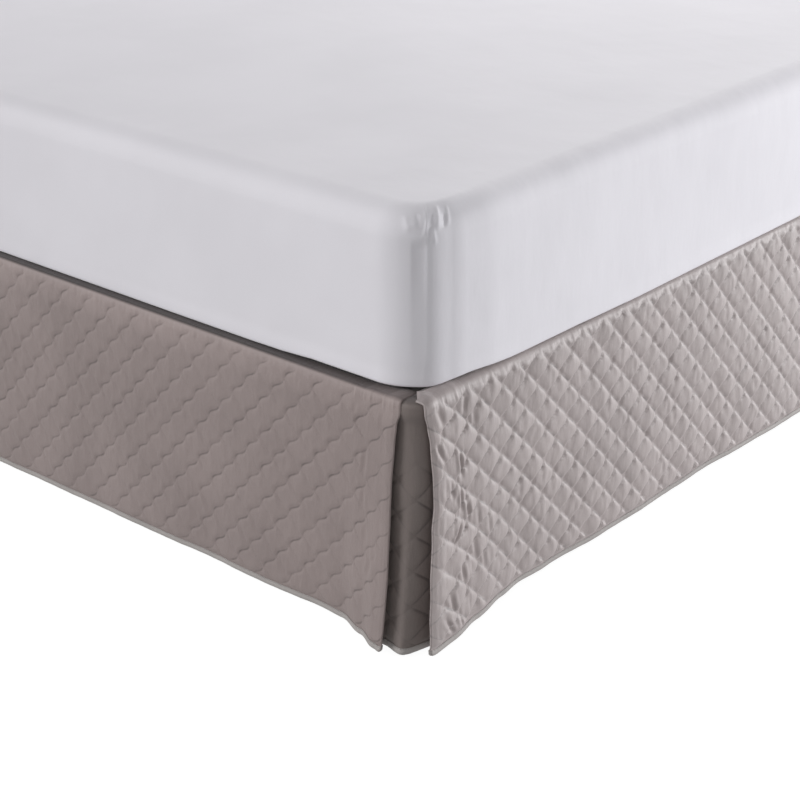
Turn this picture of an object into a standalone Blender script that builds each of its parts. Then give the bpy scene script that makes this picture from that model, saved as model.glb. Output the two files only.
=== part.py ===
"""Queen bed with a three-sided quilted bed skirt, split at the foot corners.

Metres, +Z up. The bed stands on the floor with its foot end at -Y, centred on X.
The skirt is a plain deck cloth on the base, three quilted panels that fold over the base's
top edges on to the deck, a quilted insert behind each foot corner's slit, and a narrow
binding on every hem.
"""

import math

import bpy
import bmesh

# ---- Driving dimensions -------------------------------------------------------------
INCH = 0.0254
MM = 0.001
GAP = 0.3 * MM                     # between pieces that touch

# Bed
BASE_WIDTH = 1.500
BASE_LENGTH = 2.008
BASE_TOP = 0.3835
BASE_HEIGHT = 0.203
BASE_CORNER = 0.022
BASE_BEVEL = 0.008
LEG_SIZE = 0.060
LEG_TAPER = 0.012
LEG_PLACES_X = (-0.66, 0.66)
LEG_PLACES_Y = (-0.90, 0.0, 0.90)
MATTRESS_WIDTH = 1.520
MATTRESS_LENGTH = 2.018
MATTRESS_HEIGHT = 0.258
MATTRESS_CORNER = 0.090
MATTRESS_LOWER_EDGE = 0.010
MATTRESS_UPPER_EDGE = 0.042
MATTRESS_CROWN = 0.006
MATTRESS_INSET_AT_FOOT = 0.017     # the skirt's fold shows in front of the mattress there

# Skirt
DROP = 15 * INCH                   # top of the fold to the hem's lower edge
QUILT_SIDE = 1.5 * INCH            # squares stand on their points
DECK_THICKNESS = 1.5 * MM
DECK_INSET = 3.2 * MM              # from the base's sides
CLOTH = 2.0 * MM                   # quilted cloth at its stitches
PUFF = 4.0 * MM                    # padding above the stitches
PANEL_FOLD = 13.0 * MM             # inner radius of the fold over the base's edge
PANEL_BACK = 9.3 * MM              # out from the base's sides
PANEL_LIP = 0.018                  # on the deck, under the mattress's edge
LIP_LEAST = 0.001                  # where the lips are mitred at a foot corner
INSERT_FOLD = 10.2 * MM            # follows the inside of the panels' folds
INSERT_FOLD_START = math.radians(9.0)      # where it meets the deck
INSERT_BACK = 2.4 * MM             # out from the base's sides, below the fold
INSERT_INWARD_IN = 0.024           # length in which the insert comes in under the fold
SIDE_HEM = 0.035
SIDE_HEM_PUFF = 0.25               # share of the padding's height at a side hem's edge
SEAM_ROW = 0.010                   # of the quilt that a binding presses flat
BINDING_LEG = 0.009
BINDING_THICKNESS = 1.0 * MM
BINDING_BOTTOM = 1.2 * MM
FOOT_SLIT = 0.034                  # corner to the foot panel's end
SIDE_SLIT = 0.020                  # corner to a side panel's end
FOLD_STEPS = 3
TINY = 1e-6
SWING_POWER = 1.25                 # how the hem's swing builds up with depth
BOW_REACH = 0.080                  # along the panel, from its slit edge

HALF_DIAGONAL = QUILT_SIDE * math.sqrt(2) / 2
PANEL_FACE = PANEL_BACK + CLOTH
LIP_UNDERSIDE = BASE_TOP + GAP + DECK_THICKNESS + GAP
LIP_TOP = LIP_UNDERSIDE + CLOTH
FOLD_CENTRE_OUT = PANEL_BACK - PANEL_FOLD
FOLD_CENTRE_Z = LIP_UNDERSIDE - PANEL_FOLD
HEM_BOTTOM = LIP_TOP - DROP
CLOTH_BOTTOM = HEM_BOTTOM + BINDING_BOTTOM + GAP
HANG = FOLD_CENTRE_Z - CLOTH_BOTTOM            # straight length below a fold
PANEL_ARC = (PANEL_FOLD + CLOTH / 2) * math.pi / 2
PANEL_LENGTH = PANEL_ARC + HANG
INSERT_ARC = (INSERT_FOLD + CLOTH / 2) * (math.pi / 2 - INSERT_FOLD_START)
INSERT_LENGTH = INSERT_ARC + HANG
CORNER_X = BASE_WIDTH / 2 + PANEL_FACE
CORNER_Y = BASE_LENGTH / 2 + PANEL_FACE
FOOT_COLUMNS = 54
SIDE_COLUMNS = 74
INSERT_COLUMNS = 24
ARC_STEPS = 6

# Hem of the foot panel, by its distance from a slit: (along, outward, lift).
FOOT_HEM = (
    (0.034, 0.036, -0.002),
    (0.055, 0.033, -0.001),
    (0.095, 0.017, 0.000),
    (0.145, 0.003, 0.001),
    (0.200, 0.000, 0.001),
    (0.300, 0.002, 0.000),
    (0.450, 0.000, 0.000),
    (0.620, 0.002, 0.000),
    (0.800, 0.000, 0.000),
)

# Hem of a side panel, from the slit to the head end: (along, outward, lift).
SIDE_HEM_WAVE = (
    (0.010, 0.022, -0.002),
    (0.060, 0.018, -0.001),
    (0.120, 0.009, 0.002),
    (0.190, -0.001, 0.005),
    (0.240, -0.007, 0.006),
    (0.300, -0.007, 0.003),
    (0.450, -0.005, 0.000),
    (0.575, -0.004, -0.001),
    (0.720, -0.006, 0.001),
    (0.880, 0.000, 0.000),
    (1.050, 0.004, 0.000),
    (1.250, 0.001, 0.001),
    (1.450, -0.004, 0.002),
    (1.700, 0.004, 0.000),
    (2.020, 0.008, 0.000),
)

# How a panel's slit edge bows along the panel: (depth fraction, foot panel, side panel).
EDGE_BOW = (
    (0.00, -0.006, -0.007),
    (0.12, 0.008, 0.005),
    (0.25, 0.012, 0.010),
    (0.50, 0.012, 0.005),
    (0.80, 0.010, -0.008),
    (1.00, 0.008, -0.014),
)

# Hem of an insert, by the distance round the corner from its middle, minus on the foot
# side: (along, outward from the foot side, outward from the long side).
INSERT_HEM = (
    (-0.162, 0.000, 0.000),
    (-0.110, 0.003, 0.000),
    (-0.070, 0.013, 0.000),
    (-0.040, 0.025, 0.001),
    (0.000, 0.030, 0.005),
    (0.030, 0.019, 0.008),
    (0.060, 0.009, 0.006),
    (0.100, 0.002, 0.001),
    (0.162, 0.000, 0.000),
)


# ---- Small tools ----------------------------------------------------------------------
def clear_scene():
    for item in list(bpy.data.objects):
        bpy.data.objects.remove(item, do_unlink=True)


def make_material(name, colour, roughness):
    material = bpy.data.materials.new(name)
    material.use_nodes = True
    shader = material.node_tree.nodes["Principled BSDF"]
    shader.inputs["Base Color"].default_value = (*colour, 1.0)
    shader.inputs["Roughness"].default_value = roughness
    shader.inputs["Metallic"].default_value = 0.0
    return material


def add_object(name, mesh, material, smooth_angle=35.0):
    """Turn a closed bmesh into a named object with its faces pointing out."""
    bmesh.ops.recalc_face_normals(mesh, faces=mesh.faces)
    data = bpy.data.meshes.new(name)
    mesh.to_mesh(data)
    mesh.free()
    data.materials.append(material)
    data.shade_smooth()
    data.set_sharp_from_angle(angle=math.radians(smooth_angle))
    thing = bpy.data.objects.new(name, data)
    bpy.context.collection.objects.link(thing)
    return thing


def read_table(table, place):
    """Read a table's columns at a place, with eased steps between its rows."""
    if place <= table[0][0]:
        return table[0][1:]
    for before, after in zip(table, table[1:]):
        if place <= after[0]:
            share = (place - before[0]) / (after[0] - before[0])
            eased = share * share * (3 - 2 * share)
            return tuple(a + (b - a) * eased for a, b in zip(before[1:], after[1:]))
    return table[-1][1:]


def blend(first, second, share):
    return tuple(a + (b - a) * share for a, b in zip(first, second))


# ---- Outlined solids: mattress, base and deck -------------------------------------------
def rounded_outline(half_x, half_y, radius, z, centre_y=0.0):
    """Points of a rectangle with round corners, anticlockwise from above."""
    points = []
    for quarter, (side_x, side_y) in enumerate(((1, 1), (-1, 1), (-1, -1), (1, -1))):
        for step in range(ARC_STEPS + 1):
            angle = (quarter + step / ARC_STEPS) * math.pi / 2
            x = side_x * (half_x - radius) + radius * math.cos(angle)
            y = side_y * (half_y - radius) + radius * math.sin(angle)
            points.append((x, y + centre_y, z))
    return points


def stacked_solid(name, outlines, material):
    """Loft a stack of outlines with equal point counts and cap both ends."""
    mesh = bmesh.new()
    rings = [[mesh.verts.new(point) for point in outline] for outline in outlines]
    count = len(rings[0])
    for lower, upper in zip(rings, rings[1:]):
        for index in range(count):
            following = (index + 1) % count
            mesh.faces.new((lower[index], lower[following], upper[following], upper[index]))
    mesh.faces.new(list(reversed(rings[0])))
    mesh.faces.new(rings[-1])
    return add_object(name, mesh, material)


def edge_round(radius, steps, rising):
    """(inset, height) pairs of a quarter round, rising from the bottom or up to the top."""
    pairs = []
    for step in range(steps + 1):
        angle = step / steps * math.pi / 2
        if rising:
            pairs.append((radius * (1 - math.sin(angle)), radius * (1 - math.cos(angle))))
        else:
            pairs.append((radius * (1 - math.cos(angle)), radius * (math.sin(angle) - 1)))
    return pairs


def build_mattress(material):
    bottom = LIP_TOP + GAP
    top = bottom + MATTRESS_HEIGHT
    half_x = MATTRESS_WIDTH / 2
    half_y = MATTRESS_LENGTH / 2
    foot_edge = -CORNER_Y + MATTRESS_INSET_AT_FOOT
    centre_y = foot_edge + half_y
    levels = [(inset, bottom + rise) for inset, rise in edge_round(MATTRESS_LOWER_EDGE, 3, True)]
    levels += [(inset, top + rise) for inset, rise in edge_round(MATTRESS_UPPER_EDGE, 5, False)]
    levels.append((MATTRESS_CORNER * 2, top + MATTRESS_CROWN))
    outlines = []
    for inset, z in levels:
        radius = max(MATTRESS_CORNER - inset / 2, MATTRESS_CORNER / 2)
        outlines.append(rounded_outline(half_x - inset, half_y - inset, radius, z, centre_y))
    return stacked_solid("mattress", outlines, material)


def build_foundation(material):
    bottom = BASE_TOP - BASE_HEIGHT
    levels = [(inset, bottom + rise) for inset, rise in edge_round(BASE_BEVEL / 2, 1, True)]
    levels += [(inset, BASE_TOP + rise) for inset, rise in edge_round(BASE_BEVEL, 3, False)]
    outlines = [
        rounded_outline(BASE_WIDTH / 2 - inset, BASE_LENGTH / 2 - inset, BASE_CORNER - inset, z)
        for inset, z in levels
    ]
    return stacked_solid("foundation", outlines, material)


def build_deck(material):
    """A flat cloth on the base. The panels' lips lie on its edges."""
    outlines = [
        rounded_outline(
            BASE_WIDTH / 2 - DECK_INSET, BASE_LENGTH / 2 - DECK_INSET, BASE_CORNER - DECK_INSET, z
        )
        for z in (BASE_TOP + GAP, BASE_TOP + GAP + DECK_THICKNESS)
    ]
    return stacked_solid("deck", outlines, material)


def build_legs(material):
    """Six square legs, tapered to the floor."""
    top = BASE_TOP - BASE_HEIGHT - GAP
    number = 0
    for y in LEG_PLACES_Y:
        for x in LEG_PLACES_X:
            number += 1
            mesh = bmesh.new()
            bmesh.ops.create_cube(mesh, size=1.0)
            for corner in mesh.verts:
                half = LEG_SIZE / 2 - (LEG_TAPER / 2 if corner.co.z < 0 else 0.0)
                corner.co.x = math.copysign(half, corner.co.x)
                corner.co.y = math.copysign(half, corner.co.y)
                corner.co.z = top if corner.co.z > 0 else 0.0
            leg = add_object(f"leg_{number}", mesh, material)
            leg.location = (x, y, 0.0)


# ---- Quilted cloth -------------------------------------------------------------------
def quilt_height(along, down):
    """Padding height over stitch lines that cross at the origin, from 0 to 1."""
    u = (along + down) / (2 * HALF_DIAGONAL)
    v = (along - down) / (2 * HALF_DIAGONAL)
    across_u = 1 - (2 * (u - math.floor(u)) - 1) ** 2
    across_v = 1 - (2 * (v - math.floor(v)) - 1) ** 2
    return across_u * across_v


def uneven(along, down):
    """A slow, repeatable unevenness of the padding, between 0.8 and 1."""
    wave = math.sin(41.0 * along + 9.0 * down) * math.sin(23.0 * down - 17.0 * along + 1.3)
    return 0.9 + 0.1 * wave


def zip_edges(mesh, first, second):
    """Fill the strip between two runs of (place, vertex) pairs that differ in count."""
    i = 0
    j = 0
    while i < len(first) - 1 or j < len(second) - 1:
        next_first = first[i + 1][0] if i < len(first) - 1 else math.inf
        next_second = second[j + 1][0] if j < len(second) - 1 else math.inf
        if next_first <= next_second:
            mesh.faces.new((first[i][1], first[i + 1][1], second[j][1]))
            i += 1
        else:
            mesh.faces.new((first[i][1], second[j + 1][1], second[j][1]))
            j += 1


def sheet_solid(name, surface, face, back, material):
    """Close a quilted face and a plain back into one sheet.

    surface(column, row, thickness) gives a point; thickness 0 is the back.
    face and back are (columns, rows, height) with height(column, row) above the back.
    """
    mesh = bmesh.new()
    grids = []
    for columns, rows, height in (face, back):
        grid = [[mesh.verts.new(surface(c, r, height(c, r))) for c in columns] for r in rows]
        for j in range(len(rows) - 1):
            for i in range(len(columns) - 1):
                fill_cell(mesh, grid, i, j, columns, rows, height)
        grids.append(grid)
    (face_columns, face_rows, _), (back_columns, back_rows, _) = face, back
    for row in (0, -1):
        zip_edges(mesh, list(zip(face_columns, grids[0][row])),
                  list(zip(back_columns, grids[1][row])))
    for column in (0, -1):
        zip_edges(mesh, list(zip(face_rows, [line[column] for line in grids[0]])),
                  list(zip(back_rows, [line[column] for line in grids[1]])))
    return add_object(name, mesh, material, smooth_angle=60.0)


def fill_cell(mesh, grid, i, j, columns, rows, height):
    """Two triangles whose shared edge lies along the lower diagonal, as a stitch line does."""
    a, b = grid[j][i], grid[j][i + 1]
    c, d = grid[j + 1][i + 1], grid[j + 1][i]
    falling = height(columns[i], rows[j]) + height(columns[i + 1], rows[j + 1])
    rising = height(columns[i + 1], rows[j]) + height(columns[i], rows[j + 1])
    if falling <= rising:
        mesh.faces.new((a, b, c))
        mesh.faces.new((a, c, d))
    else:
        mesh.faces.new((a, b, d))
        mesh.faces.new((b, c, d))


def quilt_rows(top_rows, first, length, step):
    """Row depths of a quilted piece: its top, the lattice, the hem's seam and its edge."""
    rows = list(top_rows)
    count = 0
    while first + step * count < length - SEAM_ROW - step / 3:
        rows.append(first + step * count)
        count += 1
    return rows + [length - SEAM_ROW, length]


def quilt_face(first, length, flat_until, full_from, start, end):
    """Height of a quilted face over its back: flat at the seams, low at the side hems."""
    def height(column, row):
        from_end = min(column - start, end - column)
        if row <= flat_until or row > length - SEAM_ROW - TINY or from_end < TINY:
            return CLOTH
        hem_share = min(1.0, SIDE_HEM_PUFF + (1 - SIDE_HEM_PUFF) * from_end / SIDE_HEM)
        top_share = min(1.0, (row - flat_until) / (full_from - flat_until))
        raised = quilt_height(column - start, row - first)
        return CLOTH + PUFF * raised * uneven(column, row) * hem_share * top_share
    return height


def binding_solid(name, surface, columns, length, material):
    """A strip folded up round a hem's edge: a U in section, swept along the hem."""
    inner = GAP
    outer = GAP + BINDING_THICKNESS
    leg_top = length - BINDING_LEG
    section = (
        (leg_top, CLOTH + outer),
        (length + GAP + BINDING_BOTTOM * 0.3, CLOTH + outer),
        (length + GAP + BINDING_BOTTOM, CLOTH / 2),
        (length + GAP + BINDING_BOTTOM * 0.3, -outer),
        (leg_top, -outer),
        (leg_top, -inner),
        (length + GAP, -inner),
        (length + GAP, CLOTH + inner),
        (leg_top, CLOTH + inner),
    )
    mesh = bmesh.new()
    rings = [
        [mesh.verts.new(surface(column, row, thickness)) for row, thickness in section]
        for column in columns
    ]
    count = len(section)
    for near, far in zip(rings, rings[1:]):
        for index in range(count):
            following = (index + 1) % count
            mesh.faces.new((near[index], near[following], far[following], far[index]))
    for ring in (rings[0], rings[-1]):
        front_leg = (ring[0], ring[1], ring[7], ring[8])
        back_leg = (ring[3], ring[4], ring[5], ring[6])
        mesh.faces.new(front_leg)
        mesh.faces.new(back_leg)
        mesh.faces.new((ring[1], ring[2], ring[3], ring[6], ring[7]))
    return add_object(name, mesh, material, smooth_angle=60.0)


# ---- Panels ------------------------------------------------------------------------------
def hang_share(down):
    """How far down the hanging part a depth is, from 0 at the fold to 1 at the hem."""
    return max(0.0, down - PANEL_ARC) / HANG


def foot_shape(along, down):
    """(along, outward, lift) of the foot panel; along runs from the right corner."""
    width = 2 * CORNER_X
    from_slit = min(along, width - along)
    share = hang_share(down)
    outward, lift = read_table(FOOT_HEM, from_slit)
    bow = read_table(EDGE_BOW, share)[0]
    weight = max(0.0, 1 - (from_slit - FOOT_SLIT) / BOW_REACH) ** 2
    if along > width / 2:
        bow = -bow
    return along + bow * weight, outward * share ** SWING_POWER, lift * share


def side_shape(along, down):
    """(along, outward, lift) of a side panel; along runs from the foot corner."""
    share = hang_share(down)
    outward, lift = read_table(SIDE_HEM_WAVE, along)
    bow = read_table(EDGE_BOW, share)[1]
    weight = max(0.0, 1 - (along - SIDE_SLIT) / BOW_REACH) ** 2
    return along + bow * weight, outward * share ** SWING_POWER, lift * share


def panel_path(down, thickness, lip):
    """(outward, z) over the base's edge: the lip, the fold, then straight down."""
    radius = PANEL_FOLD + thickness
    if down <= 0:
        return FOLD_CENTRE_OUT + down / PANEL_LIP * lip, FOLD_CENTRE_Z + radius
    if down < PANEL_ARC:
        angle = down / PANEL_ARC * math.pi / 2
        out_step = radius * math.sin(angle)
        return FOLD_CENTRE_OUT + out_step, FOLD_CENTRE_Z + radius * math.cos(angle)
    return FOLD_CENTRE_OUT + radius, FOLD_CENTRE_Z - (down - PANEL_ARC)


def facet_shape(shape, start):
    """The same shape in flats of one quilt diagonal, so that face and back keep together."""
    diagonal = 2 * HALF_DIAGONAL

    def faceted(along, down):
        index = math.floor((along - start) / diagonal + TINY)
        near = start + index * diagonal
        share = (along - near) / diagonal
        return blend(shape(near, down), shape(near + diagonal, down), share)
    return faceted


def build_panel(name, binding_name, shape, place, start, count, mitred_ends, materials):
    """One quilted panel and its hem binding. place(along, outward, z) gives the point."""
    columns = [start + HALF_DIAGONAL * index for index in range(count + 1)]
    knots = columns[::2]
    first = PANEL_ARC + HALF_DIAGONAL / 2
    top_rows = [-PANEL_LIP] + [PANEL_ARC * step / FOLD_STEPS for step in range(FOLD_STEPS + 1)]
    rows = quilt_rows(top_rows, first, PANEL_LENGTH, HALF_DIAGONAL)
    back_rows = top_rows + rows[len(top_rows) + 2:-2:3] + rows[-2:]
    faceted = facet_shape(shape, start)

    def surface(column, row, thickness):
        along, swing, lift = faceted(column, row)
        room = min(abs(along - corner) for corner in mitred_ends) + FOLD_CENTRE_OUT - PANEL_FACE
        lip = max(LIP_LEAST, min(PANEL_LIP, room - LIP_LEAST))
        outward, z = panel_path(row, thickness, lip)
        return place(along, outward + swing, z + lift)

    height = quilt_face(first, PANEL_LENGTH, 0.0, first, columns[0], columns[-1])
    sheet_solid(name, surface, (columns, rows, height),
                (knots, back_rows, lambda column, row: 0.0), materials["quilt"])
    binding_solid(binding_name, surface, knots, PANEL_LENGTH, materials["binding"])


def build_panels(materials):
    def place_foot(along, outward, z):
        return (CORNER_X - along, -BASE_LENGTH / 2 - outward, z)

    foot_start = CORNER_X - FOOT_COLUMNS / 2 * HALF_DIAGONAL
    build_panel("panel_foot", "binding_foot", foot_shape, place_foot,
                foot_start, FOOT_COLUMNS, (0.0, 2 * CORNER_X), materials)
    for side, sign in (("right", 1), ("left", -1)):
        def place_side(along, outward, z, sign=sign):
            return (sign * (BASE_WIDTH / 2 + outward), -CORNER_Y + along, z)

        build_panel(f"panel_{side}", f"binding_{side}", side_shape, place_side,
                    SIDE_SLIT, SIDE_COLUMNS, (0.0,), materials)


# ---- Corner inserts ----------------------------------------------------------------------
def insert_path(down, thickness):
    """(outward, z): under the panels' folds, then in towards the base and straight down."""
    radius = INSERT_FOLD + thickness
    if down < INSERT_ARC:
        angle = INSERT_FOLD_START + down / INSERT_ARC * (math.pi / 2 - INSERT_FOLD_START)
        out_step = radius * math.sin(angle)
        return FOLD_CENTRE_OUT + out_step, FOLD_CENTRE_Z + radius * math.cos(angle)
    below = down - INSERT_ARC
    inward = (FOLD_CENTRE_OUT + INSERT_FOLD - INSERT_BACK) * min(1.0, below / INSERT_INWARD_IN)
    return FOLD_CENTRE_OUT + radius - inward, FOLD_CENTRE_Z - below


def corner_wrap(along, standoff):
    """(x, y) at a distance round the base's right foot corner, a standoff from its sides."""
    radius = BASE_CORNER + INSERT_BACK
    half_arc = radius * math.pi / 4
    centre_x = BASE_WIDTH / 2 - BASE_CORNER
    centre_y = -BASE_LENGTH / 2 + BASE_CORNER
    reach = BASE_CORNER + standoff
    if along < -half_arc:
        return centre_x + along + half_arc, centre_y - reach
    if along > half_arc:
        return centre_x + reach, centre_y + along - half_arc
    angle = along / radius - math.pi / 4
    return centre_x + reach * math.cos(angle), centre_y + reach * math.sin(angle)


def build_insert(side, sign, materials):
    """A quilted cloth bent round the foot corner, behind the slit, and its binding."""
    step = HALF_DIAGONAL / 2
    columns = [step * (index - INSERT_COLUMNS / 2) for index in range(INSERT_COLUMNS + 1)]
    first = INSERT_ARC + INSERT_INWARD_IN
    top_rows = [INSERT_ARC * index / FOLD_STEPS for index in range(FOLD_STEPS + 1)]
    rows = quilt_rows(top_rows, first, INSERT_LENGTH, step)
    back_rows = top_rows + rows[len(top_rows):-3:5] + rows[-2:]

    def surface(column, row, thickness):
        outward, z = insert_path(row, thickness)
        x, y = corner_wrap(column, outward)
        foot_out, side_out = read_table(INSERT_HEM, column)
        swing = (max(0.0, row - INSERT_ARC) / HANG) ** SWING_POWER
        return (sign * (x + side_out * swing), y - foot_out * swing, z)

    height = quilt_face(first, INSERT_LENGTH, first, first + step, columns[0], columns[-1])
    sheet_solid(f"insert_{side}", surface, (columns, rows, height),
                (columns, back_rows, lambda column, row: 0.0), materials["quilt"])
    binding_solid(f"binding_insert_{side}", surface, columns, INSERT_LENGTH, materials["binding"])


# ---- The whole ---------------------------------------------------------------------------
def centre_lengthwise():
    """Move everything along Y so that the origin lies under the middle of the whole."""
    ends = [
        (thing.matrix_world @ vertex.co).y
        for thing in bpy.data.objects
        for vertex in thing.data.vertices
    ]
    middle = (min(ends) + max(ends)) / 2
    for thing in bpy.data.objects:
        thing.location.y -= middle


def main():
    clear_scene()
    materials = {
        "cover": make_material("white_cover", (0.78, 0.77, 0.80), 0.80),
        "ticking": make_material("base_ticking", (0.62, 0.60, 0.57), 0.85),
        "wood": make_material("leg_wood", (0.10, 0.07, 0.05), 0.45),
        "deck": make_material("deck_cloth", (0.27, 0.245, 0.235), 0.75),
        "quilt": make_material("quilted_taupe", (0.33, 0.295, 0.285), 0.62),
        "binding": make_material("binding_taupe", (0.31, 0.28, 0.27), 0.62),
    }
    build_mattress(materials["cover"])
    build_foundation(materials["ticking"])
    build_legs(materials["wood"])
    build_deck(materials["deck"])
    build_panels(materials)
    build_insert("right", 1, materials)
    build_insert("left", -1, materials)
    bpy.context.view_layer.update()
    centre_lengthwise()


main()
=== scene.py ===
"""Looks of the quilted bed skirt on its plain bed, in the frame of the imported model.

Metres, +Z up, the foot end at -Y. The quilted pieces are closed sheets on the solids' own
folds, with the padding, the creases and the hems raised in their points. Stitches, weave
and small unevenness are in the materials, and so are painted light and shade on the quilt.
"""

import math

import bpy
import numpy as np
from mathutils import Matrix, Vector


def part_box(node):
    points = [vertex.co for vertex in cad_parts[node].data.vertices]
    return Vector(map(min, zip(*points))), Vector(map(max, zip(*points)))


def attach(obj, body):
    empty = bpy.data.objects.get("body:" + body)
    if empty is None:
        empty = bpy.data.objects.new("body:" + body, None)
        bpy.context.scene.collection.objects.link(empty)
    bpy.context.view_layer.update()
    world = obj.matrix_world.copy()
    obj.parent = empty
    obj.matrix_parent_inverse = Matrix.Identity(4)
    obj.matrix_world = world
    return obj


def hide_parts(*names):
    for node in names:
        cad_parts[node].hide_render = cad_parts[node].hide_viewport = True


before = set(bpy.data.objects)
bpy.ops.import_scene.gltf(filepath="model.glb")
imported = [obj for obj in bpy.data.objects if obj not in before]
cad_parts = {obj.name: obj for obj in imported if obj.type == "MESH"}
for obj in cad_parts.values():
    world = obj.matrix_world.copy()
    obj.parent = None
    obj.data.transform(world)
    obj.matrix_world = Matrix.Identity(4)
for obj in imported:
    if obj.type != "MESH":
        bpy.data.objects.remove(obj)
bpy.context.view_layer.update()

# ---- Sizes shared with the solids ----
MM = 0.001
INCH = 0.0254
GAP = 0.3 * MM
BASE_LOW, BASE_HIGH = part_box("foundation")
HALF_WIDTH = BASE_HIGH.x
FOOT_Y = BASE_LOW.y
BASE_TOP = BASE_HIGH.z
BASE_CORNER = 0.022
MATTRESS_CORNER = 0.090
MATTRESS_UPPER_EDGE = 0.042
MATTRESS_CROWN = 0.006
DROP = 15 * INCH
DIAGONAL = 1.5 * INCH * math.sqrt(2)
DECK_THICKNESS = 1.5 * MM
DECK_INSET = 3.2 * MM
CLOTH = 2.0 * MM
PANEL_FOLD = 13.0 * MM
PANEL_BACK = 9.3 * MM
PANEL_LIP = 0.018
LIP_LEAST = 0.001
INSERT_FOLD = 10.2 * MM
INSERT_FOLD_START = math.radians(9.0)
INSERT_BACK = 2.4 * MM
INSERT_INWARD_IN = 0.024
INSERT_LIP = 0.017
INSERT_HALF = 6 * DIAGONAL / 2
BINDING_LEG = 0.009
BINDING_THICKNESS = 1.0 * MM
BINDING_BOTTOM = 1.2 * MM
FOOT_SLIT = 0.0339
SIDE_SLIT = 0.020
SWING_POWER = 1.25
BOW_REACH = 0.080
PANEL_FACE = PANEL_BACK + CLOTH
LIP_UNDERSIDE = BASE_TOP + GAP + DECK_THICKNESS + GAP
LIP_TOP = LIP_UNDERSIDE + CLOTH
FOLD_CENTRE_OUT = PANEL_BACK - PANEL_FOLD
FOLD_CENTRE_Z = LIP_UNDERSIDE - PANEL_FOLD
CLOTH_BOTTOM = LIP_TOP - DROP + BINDING_BOTTOM + GAP
HANG = FOLD_CENTRE_Z - CLOTH_BOTTOM
PANEL_ARC = (PANEL_FOLD + CLOTH / 2) * math.pi / 2
PANEL_LENGTH = PANEL_ARC + HANG
INSERT_ARC = (INSERT_FOLD + CLOTH / 2) * (math.pi / 2 - INSERT_FOLD_START)
INSERT_LENGTH = INSERT_ARC + HANG
CORNER_X = HALF_WIDTH + PANEL_FACE
CORNER_Y = FOOT_Y - PANEL_FACE
FOOT_WIDTH = 27 * DIAGONAL
SIDE_WIDTH = 37 * DIAGONAL

# Hems as in the solids: (along, outward, lift); the inserts': (along, out at the foot, out at
# the side). The slit edges' bow: (share of the depth, foot panel's, side panels').
FOOT_HEM = (
    (0.034, 0.036, -0.002), (0.055, 0.033, -0.001), (0.095, 0.017, 0.000),
    (0.145, 0.003, 0.001), (0.200, 0.000, 0.001), (0.300, 0.002, 0.000),
    (0.450, 0.000, 0.000), (0.620, 0.002, 0.000), (0.800, 0.000, 0.000),
)
SIDE_HEM_WAVE = (
    (0.010, 0.022, -0.002), (0.060, 0.018, -0.001), (0.120, 0.009, 0.002),
    (0.190, -0.001, 0.005), (0.240, -0.007, 0.006), (0.300, -0.007, 0.003),
    (0.450, -0.005, 0.000), (0.575, -0.004, -0.001), (0.720, -0.006, 0.001),
    (0.880, 0.000, 0.000), (1.050, 0.004, 0.000), (1.250, 0.001, 0.001),
    (1.450, -0.004, 0.002), (1.700, 0.004, 0.000), (2.020, 0.008, 0.000),
)
EDGE_BOW = (
    (0.00, -0.002, -0.008), (0.06, 0.004, -0.0025), (0.13, 0.006, 0.002),
    (0.29, 0.008, 0.005), (0.37, 0.0075, 0.0045), (0.50, 0.006, -0.003),
    (0.72, 0.004, -0.012), (0.87, 0.0045, -0.018), (1.00, 0.006, -0.021),
)
INSERT_HEM = (
    (-0.162, 0.000, 0.000), (-0.110, 0.003, 0.000), (-0.070, 0.013, 0.000),
    (-0.040, 0.025, 0.001), (0.000, 0.030, 0.005), (0.030, 0.019, 0.008),
    (0.060, 0.009, 0.006), (0.100, 0.002, 0.001), (0.162, 0.000, 0.000),
)


# ---- Looks ----
SEED = 11
PANEL_STEP = DIAGONAL / 18
DENSE = 28  # columns with a half step between them, beside the slit
INSERT_STEP = DIAGONAL / 24
INSERT_PUFF = 3.0 * MM
PUFF_POWER = 9.5  # the higher, the flatter a puff and the narrower its edges
LEAST_HEIGHT = 0.9 * MM  # of the face over the back
CREASE_FLOOR = 1.2 * MM  # the least height in a crease
FOLD_EDGE = 3.0 * MM  # inner radius of the top fold's edge
TOP_CREASE = 11.0 * MM  # from the lip to the fold's edge, along the cloth
HEM_WIDTH = 0.058  # side hem, from its edge to its seam
HEM_EXTRA = 1.7 * MM  # the hem's second layer

# Creases of the side panel in mm: (along, top, bottom, lean, half width, depth).
SIDE_CREASES = (
    (40, 18, 46, 0.15, 3.4, 3.2), (87, 20, 46, -0.10, 3.2, 3.6), (110, 50, 72, 0.10, 2.6, 2.8),
    (35, 72, 102, 0.35, 2.8, 3.6), (77, 96, 139, 0.12, 2.6, 5.0), (57, 138, 165, 0.15, 2.4, 2.8),
    (78, 153, 193, 0.08, 2.6, 5.0), (95, 183, 216, 0.15, 2.6, 4.6),
    (69, 204, 243, -0.55, 2.6, 4.6), (120, 207, 239, 0.10, 2.4, 3.0),
    (147, 228, 264, 0.10, 2.4, 2.0), (112, 252, 282, 0.15, 2.6, 3.2),
    (82, 274, 309, 0.20, 2.8, 4.6), (135, 277, 309, 0.15, 2.4, 3.4),
    (57, 310, 339, 0.20, 2.6, 3.4), (50, 341, 372, 0.45, 2.6, 3.6),
    (73, 345, 372, 0.15, 2.4, 3.0),
)
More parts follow.
